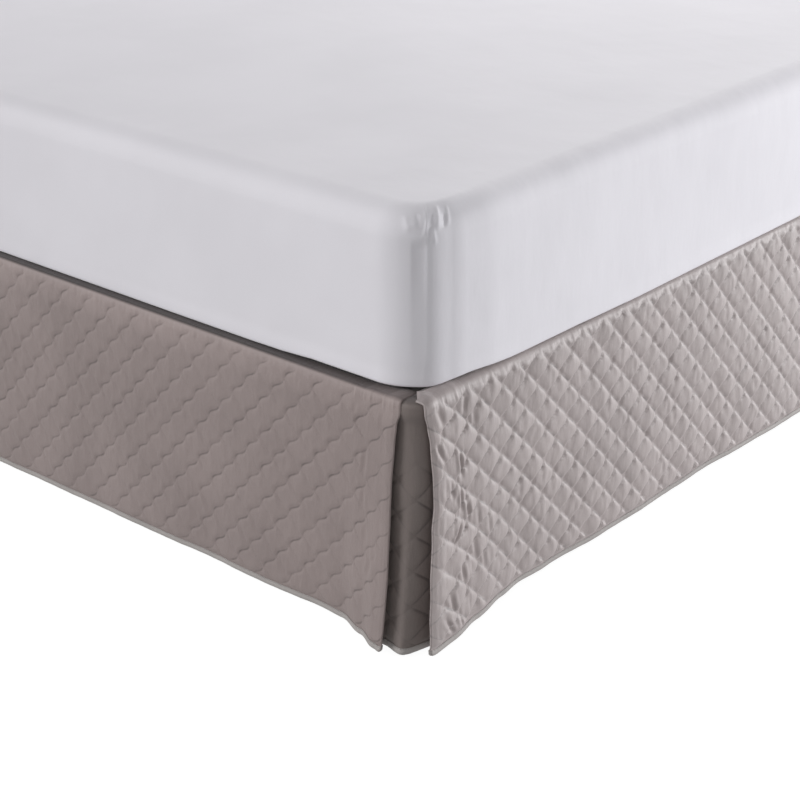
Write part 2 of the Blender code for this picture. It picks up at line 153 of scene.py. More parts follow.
# Creases of the foot panel in mm, from its right corner.
FOOT_CREASES = (
    (94, 98, 133, 0.10, 3.0, 3.0), (96, 159, 186, 0.00, 3.0, 2.4), (88, 215, 238, 0.00, 3.2, 1.8),
    (64, 234, 260, -0.10, 3.2, 1.6), (77, 257, 286, 0.25, 3.4, 2.6), (114, 35, 46, 0.10, 2.8, 1.8),
    (114, 144, 160, 0.00, 3.0, 1.2), (204, 115, 133, 0.00, 2.8, 1.4), (62, 34, 56, 0.10, 3.0, 1.2),
)
# Puckers of the white cover at a corner in mm: (along, from, to, lean, width, depth).
COVER_CREASES = (
    (8, 212, 242, 0.10, 2.4, 2.6), (14, 212, 246, -0.15, 2.2, -2.4),
    (3, 224, 252, 0.25, 2.4, -2.2), (13, 230, 262, 0.15, 2.6, 3.0),
    (24, 230, 276, 0.20, 4.0, -3.0), (34, 234, 262, 0.25, 3.0, 2.4),
    (44, 236, 274, 0.30, 3.4, -1.6), (-8, 236, 262, -0.20, 3.4, 1.6),
    (-24, 230, 258, -0.30, 5.0, -2.0),
)
# How far the mattress's lower edge stands off the base in mm: (place round the corner, rise).
EDGE_RISE = (
    (-320, 0), (-250, 1), (-190, 4.5), (-70, 5), (0, 6), (75, 10.5), (190, 4.5), (310, 3.5),
    (400, 1.5), (480, 0),
)
# How far a side panel's fold puffs up towards that raised edge in mm: (along, rise).
FOLD_RISE = (
    (-200, 0), (20, 0.5), (60, 5.5), (110, 5.5), (190, 3.8), (310, 2.6), (420, 0.8), (480, 0),
    (3000, 0),
)
# How far the side panels' diamonds lie lower near the hem's slit end, in metres: (along, shift).
SIDE_LATTICE_SHIFT = (
    (0.02, 0.012), (0.10, 0.012), (0.16, 0.009), (0.20, 0.003), (0.23, 0.0), (2.1, 0.0),
)


class SideStyle:
    """How the side panels are shaped and quilted; the inserts share the quilting's form."""

    start, width = SIDE_SLIT, SIDE_WIDTH
    two_slits = False
    hem = SIDE_HEM_WAVE
    hem_puff = 0.9  # share of the padding's height left in a side hem
    lattice = (SIDE_SLIT - 2 * PANEL_STEP, 0.0347)  # a crossing of the stitch lines
    shift = SIDE_LATTICE_SHIFT
    shear = 0.006  # of the quilting, at the top
    sway = (0.065, 0.018)  # of the two stitch lines, of a diagonal
    gentle = False
    puff = 5.2 * MM  # height of the padding
    crest = 0.88  # share of a puff that rises to an upright crest
    lean = 0.16  # that crest's place, off the diamond's middle
    creases = SIDE_CREASES
    roll = 2.8 * MM  # of the rolled edge at a slit
    ripple = 0.22 * MM


class FootStyle:
    """The foot panel is flatter: its falling stitch lines are shallow, its rising ones fade."""

    start, width = CORNER_X - FOOT_WIDTH / 2, FOOT_WIDTH
    two_slits = True
    hem = FOOT_HEM
    hem_puff = 0.5
    lattice = (FOOT_SLIT, 0.0355)
    shift = ()
    shear = 0.0
    sway = (0.0, 0.06)
    gentle = True
    puff = 2.0 * MM
    crest = 0.56
    lean = 0.0
    creases = FOOT_CREASES
    roll = 1.4 * MM
    ripple = 0.14 * MM


def eased_table(table, place, column):
    """Read a table's column at an array of places, with eased steps between its rows."""
    rows = np.asarray(table)
    place = np.asarray(place, float)
    index = np.clip(np.searchsorted(rows[:, 0], place) - 1, 0, len(rows) - 2)
    share = (place - rows[index, 0]) / (rows[index + 1, 0] - rows[index, 0])
    step = rows[index + 1, column] - rows[index, column]
    return rows[index, column] + step * smooth(share)


def smooth(share):
    share = np.clip(share, 0, 1)
    return share * share * (3 - 2 * share)


def bell(distance, width):
    return np.exp(-(distance / width) ** 2)


# ---- Meshes from grids ----
def grid_triangles(height, first_index=0):
    """Two triangles a cell of a (rows, columns) grid, split along the lower diagonal."""
    rows, columns = height.shape
    index = np.arange(rows * columns).reshape(rows, columns) + first_index
    a, b, c, d = index[:-1, :-1], index[:-1, 1:], index[1:, 1:], index[1:, :-1]
    falling = height[:-1, :-1] + height[1:, 1:] <= height[:-1, 1:] + height[1:, :-1]
    one = np.where(falling[..., None], np.stack((a, b, c), -1), np.stack((a, b, d), -1))
    two = np.where(falling[..., None], np.stack((a, c, d), -1), np.stack((b, c, d), -1))
    return np.concatenate((one.reshape(-1, 3), two.reshape(-1, 3)))


def ring_triangles(rings, count):
    """Point indices of a stack of closed rings, and the triangles between the rings."""
    index = np.arange(rings * count).reshape(rings, count)
    after = np.roll(index, -1, axis=1)
    quads = np.stack((index[:-1], after[:-1], after[1:], index[1:]), -1).reshape(-1, 4)
    return index, np.concatenate((quads[:, :3], quads[:, (0, 2, 3)]))


def zipped_edges(first, second):
    """Triangles between two runs of (places, indices) that differ in count."""
    triangles = []
    (places_a, a), (places_b, b) = first, second
    i = j = 0
    while i < len(a) - 1 or j < len(b) - 1:
        next_a = places_a[i + 1] if i < len(a) - 1 else math.inf
        next_b = places_b[j + 1] if j < len(b) - 1 else math.inf
        if next_a <= next_b:
            triangles.append((a[i], a[i + 1], b[j]))
            i += 1
        else:
            triangles.append((a[i], b[j + 1], b[j]))
            j += 1
    return np.array(triangles)


def place_in_scene(name, data):
    thing = bpy.data.objects.new(name, data)
    bpy.context.collection.objects.link(thing)
    return thing


def make_object(name, points, faces, material, marks=None):
    """A smooth-shaded object from arrays; marks is a vector at each point for the shader."""
    mesh = bpy.data.meshes.new(name)
    mesh.from_pydata(points.reshape(-1, 3).tolist(), [], faces.tolist())
    if marks is not None:
        layer = mesh.attributes.new("cloth", "FLOAT_VECTOR", "POINT")
        layer.data.foreach_set("vector", marks.reshape(-1, 3).ravel())
    mesh.materials.append(material)
    mesh.shade_smooth()
    thing = place_in_scene(name, mesh)
    if signed_volume(points.reshape(-1, 3), faces) < 0:
        mesh.flip_normals()
    return thing


def signed_volume(points, triangles):
    a, b, c = (points[triangles[:, i]] for i in range(3))
    return float((a * np.cross(b, c)).sum() / 6)


def quilted_sheet(piece, along, down, height, back_columns, back_rows, material):
    """A closed sheet: the fine grid of its face, a coarse back, and strips between their edges."""
    back_along, back_down = np.meshgrid(back_columns, back_rows)
    face = np.stack(piece.surface(along, down, height), -1)
    back = np.stack(piece.surface(back_along, back_down, 0 * back_along), -1)
    face_index = np.arange(along.size).reshape(along.shape)
    back_index = np.arange(back_along.size).reshape(back_along.shape) + along.size
    columns, rows = along[len(along) // 2], down[:, 0]
    parts = [grid_triangles(height), grid_triangles(0 * back_along, along.size)[:, ::-1]]
    for row in (0, -1):
        strip = zipped_edges((columns, face_index[row]), (back_columns, back_index[row]))
        parts.append(strip if row else strip[:, ::-1])
    for column in (0, -1):
        strip = zipped_edges((rows, face_index[:, column]), (back_rows, back_index[:, column]))
        parts.append(strip[:, ::-1] if column else strip)
    marks = [np.stack(piece.marks(a, d), -1).reshape(-1, 3)
             for a, d in ((along, down), (back_along, back_down))]
    points = np.concatenate((face.reshape(-1, 3), back.reshape(-1, 3)))
    return make_object(piece.name, points, np.concatenate(parts), material,
                       np.concatenate(marks))


# ---- Quilting ----
class Quilt:
    """Padding over stitch lines that cross at (0, 0) of the lattice, uneven from cell to cell."""

    def __init__(self, seed):
        chance = np.random.default_rng(seed)
        self.cells = chance.random((6, 97, 89))
        self.phases = chance.random(12) * math.tau

    def cell(self, u, v, layer):
        return self.cells[layer, np.floor(u).astype(int) % 97, np.floor(v).astype(int) % 89]

    def height(self, across, down, style):
        """0 at the stitches to about 1 at the middle of a diamond."""
        u, v = (across + down) / DIAGONAL, (across - down) / DIAGONAL
        side_u = 2 * (u - np.floor(u)) - 1
        side_v = 2 * (v - np.floor(v)) - 1
        power = PUFF_POWER + 2.0 * (self.cell(u, v, 0) - 0.5)
        if style.gentle:
            edge_u = 0.12 * np.abs(side_u) ** power
            edge_v = np.abs(side_v) ** power * (1 - 0.65 * np.abs(side_u) ** 3)
            round_top = (1 - edge_u) * (1 - edge_v)
        else:
            reach = (np.abs(side_u) ** 5 + np.abs(0.955 * side_v) ** 5) ** 0.2
            round_top = 1 - np.minimum(1, reach) ** power
        # An upright crest off each diamond's middle, and a wrinkle in some of them.
        sideways = (side_u + side_v) / 2
        upright = (side_u - side_v) / 2
        place = 0.5 * (self.cell(u, v, 1) - 0.5)
        off_crest = sideways - place * 0.7 - style.lean - 0.1 * upright
        crest = 1.1 - np.sqrt(off_crest ** 2 + 0.010)
        share = np.minimum(1, style.crest * (0.6 + 0.8 * self.cell(u, v, 5)))
        puff = round_top * (1 - share + share * crest)
        strength = np.maximum(0, self.cell(u, v, 2) - 0.55) / 0.45
        length = 0.35 + 0.3 * self.cell(u, v, 3)
        wrinkle = bell(sideways - place - 0.12 * upright, 0.085) * bell(upright, length)
        puff -= 0.26 * strength * wrinkle * puff
        return puff * (0.86 + 0.26 * self.cell(u, v, 4))

    def stitch_pull(self, across, down):
        """Small tucks along the stitch lines."""
        u, v = (across + down) / DIAGONAL, (across - down) / DIAGONAL
        near_u = bell((u - np.round(u)) * DIAGONAL, 3.6 * MM)
        near_v = bell((v - np.round(v)) * DIAGONAL, 3.6 * MM)
        waves = [np.sin(math.tau * f * v + p) for f, p in zip((5.3, 8.1, 12.7), self.phases)]
        other = [np.sin(math.tau * f * u + p) for f, p in zip((4.7, 7.9, 11.3), self.phases[3:])]
        return near_u * sum(waves) / 3 + 0.7 * near_v * sum(other) / 3


def creased(height, along, down, creases):
    """The height with the listed creases cut in, and a low ridge at both sides."""
    left = np.ones(height.shape)
    ridges = np.zeros(height.shape)
    for place, top, bottom, lean, width, deep in creases:
        middle = (top + bottom) / 2
        offset = along / MM - place - lean * (down / MM - middle)
        reach = 0.62 * (bottom - top) + 4
        width = 1.2 * width
        fade = smooth(1.2 * (1 - np.abs(down / MM - middle) / reach))
        left *= 1 - min(0.6, deep / 7.5) * fade * bell(offset, width)
        ridges += 0.26 * deep * MM * fade * bell(np.abs(offset) - 2.1 * width, width)
    return CREASE_FLOOR + (height - CREASE_FLOOR) * left + ridges * left


# ---- Panels ----
def panel_path(down, thickness, lip):
    """(outward, z) over the base's edge: the lip, the fold, then straight down."""
    outward, z = square_fold(down / PANEL_ARC, PANEL_FOLD, thickness)
    outward = outward + np.minimum(down, 0) / PANEL_LIP * lip
    return outward, z - np.maximum(0, down - PANEL_ARC)


def square_fold(share, radius, thickness):
    """(outward, z) through a fold with a crisp edge, from flat at 0 to upright at 1."""
    flat = radius - FOLD_EDGE
    bend = (FOLD_EDGE + CLOTH / 2) * math.pi / 2
    run = np.clip(share, 0, 1) * (2 * flat + bend)
    angle = np.clip((run - flat) / bend, 0, 1) * math.pi / 2
    edge = FOLD_EDGE + thickness
    outward = FOLD_CENTRE_OUT + np.minimum(run, flat) + edge * np.sin(angle)
    z = FOLD_CENTRE_Z + flat + edge * np.cos(angle) - np.maximum(0, run - flat - bend)
    return outward, z


def soft_waves(along, down, phase):
    """Slow waves of the hanging cloth, stronger towards the hem."""
    share = np.clip((down - PANEL_ARC) / HANG, 0, 1)
    wave = np.sin(along * 27.0 + phase) + 0.7 * np.sin(along * 47.0 - 6.0 * down + 2 * phase)
    return 0.7 * MM * wave * smooth(share * 1.4)


class Panel:
    """One quilted panel: how its grid lies, and the height of its face over its back."""

    length = PANEL_LENGTH
    depth = PANEL_LENGTH + PANEL_LIP
    rests_on = "deck_cloth"
    binding_seed = SEED + 20

    def __init__(self, side, style, sign, seed):
        self.name = f"panel_{side}_cloth"
        self.style = style
        self.start, self.width = style.start, style.width
        self.end = self.start + self.width
        self.sign = sign
        self.quilt = Quilt(seed)
        self.phase = seed * 1.7

    def from_end(self, along):
        return np.minimum(along - self.start, self.end - along)

    def lattice_place(self, along, down):
        style = self.style
        across, depth = along - style.lattice[0], down - style.lattice[1]
        if style.shift:
            depth = depth + eased_table(style.shift, along, 1) * smooth((down - 0.16) / 0.10)
        # The stitch lines sway, so that they run more upright where they cross.
        turns = math.tau / DIAGONAL
        one = style.sway[0] * np.sin(turns * (across - depth)) * DIAGONAL / 2
        other = style.sway[1] * np.sin(turns * (across + depth)) * DIAGONAL / 2
        return across + one + other, depth + one - other

    def face_height(self, along, down):
        """Thickness at each point of the face."""
        style = self.style
        across, depth = self.lattice_place(along, down)
        edge = self.from_end(along)
        in_hem = smooth((HEM_WIDTH + 0.01 - edge) / 0.02)
        to_edge = 0.10 + 0.90 * smooth((edge - 0.006) / 0.014)
        to_top = smooth((down - TOP_CREASE - 0.001) / 0.009)
        to_hem = smooth((PANEL_LENGTH - BINDING_LEG - down) / 0.007)
        soft = (1 - (1 - style.hem_puff) * in_hem) * to_edge * to_top * to_hem
        height = CLOTH + style.puff * self.quilt.height(across, depth, style) * soft
        height += HEM_EXTRA * in_hem * to_hem
        height += 0.55 * MM * self.quilt.stitch_pull(across, depth) * soft
        at_edge = smooth(edge / 0.008) * smooth((0.024 - edge) / 0.012)
        height += style.roll * at_edge * to_hem
        gathers = sum(np.sin(along * f + p) for f, p in zip((490, 730, 1090), self.quilt.phases))
        height += 0.30 * MM * gathers * bell(down - TOP_CREASE - 0.006, 0.005)
        bend = 2.6 * np.sin(math.tau * down / 0.11 + 21 * along)
        ripple = np.sin(math.tau * along / 0.027 + bend)
        ripple += 0.6 * np.sin(along * 340 + 2.4 * np.sin(down * 71 + 9 * along))
        height += style.ripple * ripple * soft
        height = creased(np.maximum(height, CREASE_FLOOR), along, down, style.creases)
        return np.maximum(height, LEAST_HEIGHT)

    def lip_painted_shade(self, along):
        """How much painted shade darkens the cloth on top of the base, where the mattress shades
        it.
        """
        if self.style.two_slits:
            near_slit = 0.17 * smooth((0.30 - along) / 0.15)
            return 1.03 - near_slit - 0.3 * smooth((0.12 - along) / 0.08)
        near_slit = 0.15 * smooth((0.06 - along) / 0.05)
        return 0.05 + near_slit + 0.6 * smooth((0.014 - along) / 0.01)

    def marks(self, along, down):
        """The lattice place, and the stitches' strength (over 0) or the lip's painted shade (under
        0).
        """
        across, depth = self.lattice_place(along, down)
        mask = smooth((down - 0.014) / 0.01) * smooth((PANEL_LENGTH - BINDING_LEG - down) / 0.004)
        mask -= self.lip_painted_shade(along) * smooth((TOP_CREASE + 0.0005 - down) / 0.003)
        return across, depth, mask

    def place(self, along, outward, z):
        if self.style.two_slits:
            return CORNER_X - along, FOOT_Y - outward, z + 0 * along
        return self.sign * (HALF_WIDTH + outward), CORNER_Y + along, z + 0 * along

    def surface(self, along, down, thickness):
        """The place of a point by its distances along and down the cloth, and over its back."""
        style = self.style
        share = np.maximum(0, down - PANEL_ARC) / HANG
        hem_place = np.minimum(along, 2 * CORNER_X - along) if style.two_slits else along
        outward = eased_table(style.hem, hem_place, 1)
        lift = eased_table(style.hem, hem_place, 2)
        bow = eased_table(EDGE_BOW, share, 1 if style.two_slits else 2)
        moved = along + bow * np.maximum(0, 1 - (along - self.start) / BOW_REACH) ** 2
        if style.two_slits:
            moved = moved - bow * np.maximum(0, 1 - (self.end - along) / BOW_REACH) ** 2
        inner = smooth(self.from_end(along) / 0.060)
        moved += style.shear * (1 - share) * inner
        # The lips are mitred where two panels meet at a corner.
        room = np.abs(moved)
        if style.two_slits:
            room = np.minimum(room, np.abs(moved - 2 * CORNER_X))
        room = room + FOLD_CENTRE_OUT - PANEL_FACE
        lip = np.maximum(LIP_LEAST, np.minimum(PANEL_LIP, room - LIP_LEAST))
        out, z = panel_path(down, thickness, lip)
        if not style.two_slits:
            rise = eased_table(FOLD_RISE, along / MM, 1) * MM
            z = z + rise * smooth((down + 0.020) / 0.014) * smooth((0.015 - down) / 0.013)
        corner = np.maximum(0, 1 - self.from_end(along) / 0.010) ** 2
        lift += 0.005 * corner * share ** 20
        wave = soft_waves(along, down, self.phase) * inner
        return self.place(moved, out + outward * share ** SWING_POWER + wave, z + lift * share)

    def rows(self):
        first = self.style.lattice[1] - 11 * PANEL_STEP
        count = int((PANEL_LENGTH - 0.0012 - first) / PANEL_STEP)
        rows = [-PANEL_LIP, -0.006, 0.0] + [first + PANEL_STEP * i for i in range(count + 1)]
        return np.array([r for r in rows if r <= 0 or r > 0.0008] + [PANEL_LENGTH])

    def build(self, material):
        rows = self.rows()
        count = round(self.width / PANEL_STEP)
        places = np.concatenate((np.arange(1, DENSE, 0.5), np.arange(DENSE, count)))
        along, down = np.meshgrid(self.start + PANEL_STEP * places, rows)
        height = self.face_height(along, down)
        # Round the two upright edges, from the face to the back.
        turns = np.radians((150, 110, 70, 35, 0))
        edge_height = self.face_height(np.full_like(rows, self.start + 0.0025), rows)
        half = edge_height[:, None] / 2
        inward, thick = half * (1 - np.sin(turns)), half * (1 + np.cos(turns))
        along = np.hstack((self.start + inward, along, (self.end - inward)[:, ::-1]))
        height = np.hstack((thick, height, thick[:, ::-1]))
        down = np.repeat(rows[:, None], along.shape[1], axis=1)

        back_step = DIAGONAL / 4
        back_columns = self.start + back_step * np.arange(round(self.width / back_step) + 1)
        back_columns[0] += 0.003
        back_columns[-1] -= 0.003
        back_rows = np.concatenate((rows[:3], rows[5:-3:5], rows[-2:]))
        return quilted_sheet(self, along, down, height, back_columns, back_rows, material)


# ---- Bindings ----
def build_binding(name, piece, material):
    """A strip folded round a piece's hem: a rounded U in section."""
    step = 3.2 * MM
    count = max(2, round((piece.end - piece.start) / step)) + 1
    columns = np.linspace(piece.start, piece.end, count)
    phase = np.random.default_rng(piece.binding_seed).random(6) * math.tau
    pucker = sum(np.sin(columns * f + p) for f, p in zip((610, 830, 1130), phase)) / 3
    slow = sum(np.sin(columns * f + p) for f, p in zip((43, 97, 171), phase[3:])) / 3
    length = piece.length
    leg_top = length - BINDING_LEG
    half = CLOTH / 2 + GAP * 0.6
    outer = half + BINDING_THICKNESS
    # Each point of the section: (down, out from the cloth's middle, how much it puckers).
    section = [(leg_top + 0.0004, half, 0.0)]
    section += [(leg_top + 0.0002, outer - 0.0001, 0.5), (leg_top + 0.0016, outer - 0.0002, 0.3)]
    section += [(leg_top + 0.0036, outer + 0.0011, 1.2), (leg_top + 0.0064, outer + 0.0010, 1.0)]
    centre = length - 0.0010
    for turn in np.radians((30, 60, 90, 120, 150)):
        section.append((centre + 0.0024 * math.sin(turn), outer * math.cos(turn), 0.4))
    section += [(length - 0.0030, -outer, 0.5), (leg_top + 0.001, -outer, 0.5)]
    section += [(leg_top, -outer + 0.0003, 0.2), (leg_top + 0.0004, -half, 0.0)]
    section += [(length + GAP, -half, 0.0), (length + GAP, half, 0.0)]
    lines = []
    for row, offset, ripple in section:
        rows = row + 0.00035 * slow + 0.0001 * pucker * (ripple > 0)
        puffed = offset + 0.00022 * ripple * pucker + CLOTH / 2
        lines.append(np.stack(piece.surface(columns, rows, puffed), -1))
    points = np.stack(lines, 1)
    index, sides = ring_triangles(*points.shape[:2])
    ends = []
    for ring, turned in ((index[0], -1), (index[-1], 1)):
        ends += [(ring[0], *ring[i:i + 2])[::turned] for i in range(1, len(section) - 1)]
    faces = np.concatenate((sides, np.array(ends)))
    marks = np.zeros(points.shape)
    marks[..., 0] = columns[:, None]
    marks[..., 1] = [row - leg_top for row, _, _ in section]
    return make_object(name, points, faces, material, marks)


# ---- Inserts ----
def insert_path(down, thickness):
    """(outward, z): under the panels' folds, then in towards the base and straight down."""
    outward, z = square_fold(down / INSERT_ARC, INSERT_FOLD, thickness)
    below = np.maximum(0, down - INSERT_ARC)
    inward = (FOLD_CENTRE_OUT + INSERT_FOLD - INSERT_BACK) * smooth(below / INSERT_INWARD_IN)
    return outward - inward + np.minimum(down, 0), z - below


def corner_wrap(along, standoff):
    """(x, y) at a distance round the base's right foot corner, a standoff from its sides."""
    radius = BASE_CORNER + INSERT_BACK
    half_arc = radius * math.pi / 4
    reach = BASE_CORNER + standoff
    angle = np.clip(along / radius, -math.pi / 4, math.pi / 4) - math.pi / 4
    before = np.minimum(0, along + half_arc)
    after = np.maximum(0, along - half_arc)
    x = HALF_WIDTH - BASE_CORNER + reach * np.cos(angle) + before
    y = FOOT_Y + BASE_CORNER + reach * np.sin(angle) + after
    return x, y


class Insert:
    """The quilted cloth bent round a foot corner, behind the slit."""

    length = depth = INSERT_LENGTH
    rests_on = "foundation_box"
    binding_seed = SEED + 30
    start, end, width = -INSERT_HALF, INSERT_HALF, 2 * INSERT_HALF
    first = INSERT_ARC + INSERT_INWARD_IN  # the quilting's first crossing
    fold_at = -0.010  # the soft upright fold in the middle

    def __init__(self, side, sign, seed):
        self.name = f"insert_{side}_cloth"
        self.sign = sign
        self.quilt = Quilt(seed)

    def face_height(self, along, down):
        across = along + INSERT_HALF
        depth = down - self.first
        to_top = smooth((down - self.first - 0.02) / 0.08)
        to_hem = smooth((INSERT_LENGTH - BINDING_LEG - down) / 0.007)
        soft = to_top * to_hem * (1 - 0.9 * bell(along - self.fold_at, 0.012))
        height = CLOTH + INSERT_PUFF * self.quilt.height(across, depth, SideStyle) * soft
        # Between the panels' ends the cloth comes forward, and its top rises.
        in_slit = smooth((along + 0.024) / 0.004) * smooth((0.010 - along) / 0.004)
        height += 2.5 * MM * in_slit * smooth((INSERT_ARC + 0.020 - down) / 0.020)
        near = smooth((along + 0.032) / 0.008) * smooth((0.024 - along) / 0.008)
        at_top = smooth((0.006 - down) / 0.004)
        height += near * 0.9 * MM * at_top
        height += near * (1 - in_slit) * 2.5 * MM * at_top
        height += 0.4 * MM * self.quilt.stitch_pull(across, depth) * soft
        return np.maximum(height, LEAST_HEIGHT)

    def marks(self, along, down):
        """As a panel's; the painted shade reaches further down under the panels' folds."""
        mask = smooth((down - 0.08) / 0.04) * smooth((INSERT_LENGTH - BINDING_LEG - down) / 0.004)
        mask *= 1 - 0.85 * bell(along - self.fold_at, 0.012)
        # Painted shade on the cloth under the panels' folds, darkest at its top.
        under_fold = smooth((INSERT_ARC / 2 + 0.001 - down) / 0.003)
        mask -= (0.6 + 0.6 * smooth((0.004 - down) / 0.010)) * under_fold
        return along + INSERT_HALF, down - self.first, mask

    def surface(self, along, down, thickness):
        outward, z = insert_path(down, thickness)
        x, y = corner_wrap(along, outward)
        swing = (np.maximum(0, down - INSERT_ARC) / HANG) ** 1.8
        foot_out = eased_table(INSERT_HEM, along, 1) * swing
        side_out = eased_table(INSERT_HEM, along, 2) * swing
        fold = 3.2 * MM * (bell(along + 0.009, 0.008) - 0.8 * bell(along - 0.014, 0.009)
                           - 0.8 * bell(along + 0.032, 0.009)) * smooth(swing * 2.2)
        x = self.sign * (x + side_out + 0.7 * fold)
        return x, y - foot_out - 0.7 * fold, z + 0 * along

    def build(self, material):
        columns = self.start + INSERT_STEP * np.arange(round(self.width / INSERT_STEP) + 1)
        top = [-INSERT_LIP, -INSERT_LIP / 2] + [INSERT_ARC * i / 9 for i in range(9)]
        count = int((INSERT_LENGTH - 0.0012 - INSERT_ARC) / INSERT_STEP)
        hang = [INSERT_ARC + INSERT_STEP * i for i in range(count + 1)]
        rows = np.array(top + hang + [INSERT_LENGTH])
        along, down = np.meshgrid(columns, rows)
        height = self.face_height(along, down)
        back_rows = np.concatenate((rows[:12], rows[13:-3:5], rows[-2:]))
        return quilted_sheet(self, along, down, height, columns[::4], back_rows, material)


# ---- Mattress, deck and foundation ----
def outline(low, high, radius, straight_step, corner_step):
    """A rounded rectangle from above: rows of (x, y, normal's x and y, distance, corner).

    The distance runs along the outline from the middle of the nearest corner.
    """
    half_arc = radius * math.pi / 4
    rows = []
    centre = (low + high) / 2
    half = (high - low) / 2
    for quarter, sides in enumerate(((1, -1), (1, 1), (-1, 1), (-1, -1))):
        middle = quarter * math.pi / 2 - math.pi / 4
        pivot = centre + np.array(sides) * (half - radius)
        for share in np.linspace(-1, 1, round(2 * half_arc / corner_step) + 1):
            turn = middle + share * math.pi / 4
            normal = np.array((math.cos(turn), math.sin(turn)))
            rows.append((*(pivot + radius * normal), *normal, share * half_arc, quarter))
        # The straight run to the next corner, denser at both ends.
        run = 2 * half[1 - quarter % 2] - 2 * radius
        tangent = np.array((-normal[1], normal[0]))
        start = pivot + radius * normal
        places, place = [], corner_step * 1.4
        while place < run / 2:
            places.append(place)
            place += corner_step * 1.4 if place < 0.07 else min(straight_step, place * 0.3)
        for place in places + [run - p for p in reversed(places)]:
            past = place > run / 2
            from_corner = -(half_arc + run - place) if past else half_arc + place
            point = start + tangent * place
            rows.append((*point, *normal, from_corner, (quarter + past) % 4))
    return np.array(rows)


def lofted(name, rings, material, marks=None):
    """Close a stack of equal rings, lowest first, with a fan at both ends."""
    points = np.stack(rings)
    index, sides = ring_triangles(*points.shape[:2])
    after = np.roll(index, -1, axis=1)
    full = np.full(index.shape[1], index.size)
    low_end = np.stack((after[0], index[0], full), -1)
    high_end = np.stack((index[-1], after[-1], full + 1), -1)
    caps = np.array((points[0].mean(0), points[-1].mean(0)))
    flat = np.concatenate((points.reshape(-1, 3), caps))
    if marks is not None:
        marks = np.concatenate((np.stack(marks).reshape(-1, 3), np.zeros((2, 3))))
    faces = np.concatenate((sides, low_end, high_end))
    return make_object(name, flat, faces, material, marks)


def corner_relief(place, corner, run):
    """Seam, hollow and puckers of the fitted cover at each corner, as outward metres.

    place is the distance from the corner's middle towards the bed's side, and run the one up
    the cover and on to the top, in millimetres.
    """
    vary = np.choose(corner.astype(int), (1.0, 0.8, 0.9, 0.75))
    seam_at = 2.0 + 6.5 * float(smooth(run / 75.0))
    near = smooth((135 - np.abs(place)) / 90)
    fade = float(smooth((285 - run) / 30))
    upper = float(smooth((run - 110) / 90))
    relief = (-0.3 * bell(place - seam_at, 1.5) + 0.6 * bell(place - seam_at + 4.0, 2.6)) * fade
    relief *= 0.35 + 0.65 * upper
    # The slack hollow beside the seam, with a crisp edge away from it.
    span = float(smooth((run - 30) / 60) * smooth((226 - run) / 16))
    edge = np.clip((place + 17.0) / 13.0, 0, 1)
    edge = edge * (2 - edge) * smooth((11.0 - place) / 15.0)
    relief += -(0.9 + 1.9 * upper) * edge * span
    # A ridge over the hollow, and the flatter side of the corner.
    relief += 1.6 * bell(run - 242, 8.0) * bell(place + 14, 11.0)
    relief -= 6.3 * smooth((place - 2.0) / 44.0) * fade
    for middle, low, high, lean, width, depth in COVER_CREASES:
        above = run - (low + high) / 2
        half = (high - low) / 2
        if abs(above) < half:
            strength = float(smooth(1.6 * (1 - abs(above) / half)))
            relief += -0.5 * depth * strength * bell(place - middle - lean * above, width)
    return relief * MM * near * vary


def mattress_levels(height):
    """Levels up the side and on to the top: (inset, height, the turn from outward to up)."""
    edge = MATTRESS_UPPER_EDGE
    turn_at = height - edge
    levels = [(0.0060, 0.0, 0), (0.0028, 0.0003, 0), (0.0010, 0.0011, 0), (0.0002, 0.0024, 0)]
    levels += [(0.0, 0.004 + (turn_at - 0.004) * i / 62, 0) for i in range(62)]
    for i in range(25):
        turn = i / 24 * math.pi / 2
        levels.append((edge * (1 - math.cos(turn)), turn_at + edge * math.sin(turn), turn))
    return levels + [(edge + 0.0022 * i, height, math.pi / 2) for i in range(1, 18)]


def build_mattress(material):
    low, high = (np.array(point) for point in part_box("mattress"))
    line = outline(low[:2], high[:2], MATTRESS_CORNER, 0.030, 0.0017)
    from_corner, corner = line[:, 4], line[:, 5]
    to_side = np.where((corner == 0) | (corner == 2), 1, -1)
    place = from_corner * to_side / MM
    round_bed = np.arctan2(line[:, 1], line[:, 0])
    bottom, top = low[2], high[2] - MATTRESS_CROWN
    side_height = top - bottom
    levels = mattress_levels(side_height)
    rings, marks = [], []
    run = 0.0
    for i, (inset, height, turn) in enumerate(levels):
        if i:
            run += math.hypot(inset - levels[i - 1][0], height - levels[i - 1][1]) / MM
        relief = corner_relief(place, corner, run)
        ease = float(smooth(height / 0.03) * smooth((side_height - 0.004 - height) / 0.03))
        share = height / side_height
        bulge = 2.0 * MM * np.sin(math.pi * share) + 0.8 * MM * np.sin(7 * round_bed + 3 * share)
        swell = np.minimum(0.0, -2.5 * MM + bulge) * ease
        reach = -inset + (relief + swell) * math.cos(turn)
        xy = line[:, :2] + line[:, 2:4] * reach[:, None]
        rise = eased_table(EDGE_RISE, place, 1) * MM * (1 - smooth(height / 0.07))
        z = bottom + height + rise + relief * math.sin(turn)
        rings.append(np.column_stack((xy, np.minimum(z, high[2]))))
        marks.append(np.column_stack((from_corner, z, corner)))
    edge = rings[-1]
    centre = (low + high) / 2
    for share in (0.02, 0.045, 0.08, 0.13, 0.2, 0.3, 0.42, 0.56, 0.72, 0.88):
        ring = edge + (centre - edge) * share
        ring[:, 2] = edge[:, 2] * (1 - share) + top * share
        ring[:, 2] = np.minimum(high[2], ring[:, 2] + MATTRESS_CROWN * smooth(share * 2.2))
        rings.append(ring)
        marks.append(np.column_stack((ring[:, :2], np.full(len(ring), 9.0))))
    return lofted("mattress_cover", rings, material, marks)


